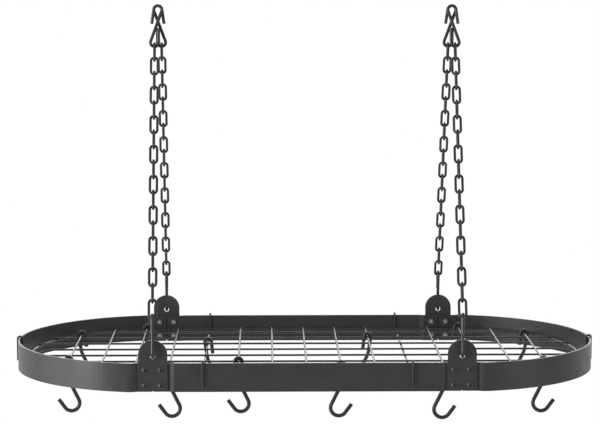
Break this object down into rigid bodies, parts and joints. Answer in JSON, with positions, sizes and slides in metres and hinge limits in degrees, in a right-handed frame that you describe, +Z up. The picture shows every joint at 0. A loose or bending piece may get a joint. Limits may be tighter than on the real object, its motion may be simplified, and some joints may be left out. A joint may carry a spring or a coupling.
{
  "type": "hanging pot rack",
  "caption": "Oval flat-steel band with a hook-over wire grid shelf and loose pot hooks, hung from the ceiling on chains and crossed S-hooks.",
  "frame": {"origin": "midway between the two ceiling hooks, at the height where the top S-hooks' upper loops bear on them", "axes": "+X along the rack to its right, +Y to its rear, +Z up"},
  "size_m": [0.9216, 0.4842, 0.6353],
  "materials": {
    "band_steel": "matte graphite powder coat",
    "bracket_plate": "matte graphite powder coat",
    "screw": "black oxide, satin",
    "nut": "zinc plated",
    "grid_wire": "satin graphite powder coat",
    "pot_hook": "satin graphite powder coat",
    "s_hook": "satin graphite powder coat",
    "chain": "satin graphite powder coat"
  },
  "bodies": {
    "top_hooks": {"top_s_hook_front_left": "s_hook", "top_s_hook_front_right": "s_hook", "top_s_hook_rear_left": "s_hook", "top_s_hook_rear_right": "s_hook"},
    "swing": {"first_link_front_left": "chain", "first_link_front_right": "chain", "first_link_rear_left": "chain", "first_link_rear_right": "chain"},
    "left_chains": {"chain_links_front_left": "chain", "foot_s_hook_front_left": "s_hook", "chain_links_rear_left": "chain", "foot_s_hook_rear_left": "s_hook"},
    "right_chains": {"chain_links_front_right": "chain", "foot_s_hook_front_right": "s_hook", "chain_links_rear_right": "chain", "foot_s_hook_rear_right": "s_hook"},
    "frame": {"end_band_left": "band_steel", "end_band_right": "band_steel", "side_bar_front": "band_steel", "side_bar_rear": "band_steel", "bracket_plate_front_left": "bracket_plate", "bracket_plate_front_right": "bracket_plate", "bracket_plate_rear_left": "bracket_plate", "bracket_plate_rear_right": "bracket_plate", "screws_front_left": "screw", "screws_front_right": "screw", "screws_rear_left": "screw", "screws_rear_right": "screw", "nuts_front_left": "nut", "nuts_front_right": "nut", "nuts_rear_left": "nut", "nuts_rear_right": "nut"},
    "grid": {"grid_rim_wire": "grid_wire", "grid_long_wires": "grid_wire", "grid_cross_wires": "grid_wire", "grid_cross_hangers": "grid_wire", "grid_end_hanger": "grid_wire"},
    "hook_01": {"pot_hook_01": "pot_hook"},
    "hook_02": {"pot_hook_02": "pot_hook"},
    "hook_03": {"pot_hook_03": "pot_hook"},
    "hook_04": {"pot_hook_04": "pot_hook"},
    "hook_05": {"pot_hook_05": "pot_hook"},
    "hook_06": {"pot_hook_06": "pot_hook"},
    "hook_07": {"pot_hook_07": "pot_hook"},
    "hook_08": {"pot_hook_08": "pot_hook"},
    "hook_09": {"pot_hook_09": "pot_hook"},
    "hook_10": {"pot_hook_10": "pot_hook"},
    "hook_11": {"pot_hook_11": "pot_hook"},
    "hook_12": {"pot_hook_12": "pot_hook"}
  },
  "joints": [
    {"name": "swing_front_back", "type": "hinge", "parent": "top_hooks", "child": "swing", "pos_m": [0, 0, -0.0615], "axis": [1, 0, 0], "range_deg": [-8, 8]},
    {"name": "sway_left", "type": "hinge", "parent": "swing", "child": "left_chains", "pos_m": [-0.2316, 0, -0.0828], "axis": [0, 1, 0], "range_deg": [-7, 7]},
    {"name": "sway_right", "type": "hinge", "parent": "swing", "child": "right_chains", "pos_m": [0.2316, 0, -0.0828], "axis": [0, 1, 0], "range_deg": [-7, 7]},
    {"name": "frame_level", "type": "hinge", "parent": "left_chains", "child": "frame", "pos_m": [-0.2316, 0, -0.516], "axis": [0, 1, 0], "range_deg": [-7, 7]},
    {"name": "grid_lift", "type": "slide", "parent": "frame", "child": "grid", "axis": [0, 0, 1], "range_m": [0, 0.045]},
    {"name": "hook_01_swing", "type": "hinge", "parent": "grid", "child": "hook_01", "pos_m": [-0.3675, -0.113, -0.5426], "axis": [0, 1, 0], "range_deg": [-30, 30]},
    {"name": "hook_02_swing", "type": "hinge", "parent": "grid", "child": "hook_02", "pos_m": [-0.21, -0.157, -0.5426], "axis": [0, 1, 0], "range_deg": [-30, 30]},
    {"name": "hook_03_swing", "type": "hinge", "parent": "grid", "child": "hook_03", "pos_m": [-0.105, -0.123, -0.5426], "axis": [0, 1, 0], "range_deg": [-30, 30]},
    {"name": "hook_04_swing", "type": "hinge", "parent": "grid", "child": "hook_04", "pos_m": [0.0525, -0.157, -0.5426], "axis": [0, 1, 0], "range_deg": [-30, 30]},
    {"name": "hook_05_swing", "type": "hinge", "parent": "grid", "child": "hook_05", "pos_m": [0.21, -0.172, -0.5426], "axis": [0, 1, 0], "range_deg": [-30, 30]},
    {"name": "hook_06_swing", "type": "hinge", "parent": "grid", "child": "hook_06", "pos_m": [0.3675, -0.124, -0.5426], "axis": [0, 1, 0], "range_deg": [-30, 30]},
    {"name": "hook_07_swing", "type": "hinge", "parent": "grid", "child": "hook_07", "pos_m": [-0.3675, 0.125, -0.5426], "axis": [0, 1, 0], "range_deg": [-30, 30]},
    {"name": "hook_08_swing", "type": "hinge", "parent": "grid", "child": "hook_08", "pos_m": [-0.2625, 0.19, -0.5426], "axis": [0, 1, 0], "range_deg": [-30, 30]},
    {"name": "hook_09_swing", "type": "hinge", "parent": "grid", "child": "hook_09", "pos_m": [-0.1575, 0.091, -0.5484], "axis": [0, 1, 0], "range_deg": [-30, 30]},
    {"name": "hook_10_swing", "type": "hinge", "parent": "grid", "child": "hook_10", "pos_m": [0.105, 0.101, -0.5426], "axis": [0, 1, 0], "range_deg": [-30, 30]},
    {"name": "hook_11_swing", "type": "hinge", "parent": "grid", "child": "hook_11", "pos_m": [0.2625, 0.195, -0.5426], "axis": [0, 1, 0], "range_deg": [-30, 30]},
    {"name": "hook_12_swing", "type": "hinge", "parent": "grid", "child": "hook_12", "pos_m": [0.3675, 0.131, -0.5426], "axis": [0, 1, 0], "range_deg": [-30, 30]}
  ],
  "couplings": [
    {"joint": "sway_right", "follows": "sway_left", "ratio": 1},
    {"joint": "frame_level", "follows": "sway_left", "ratio": -1}
  ]
}
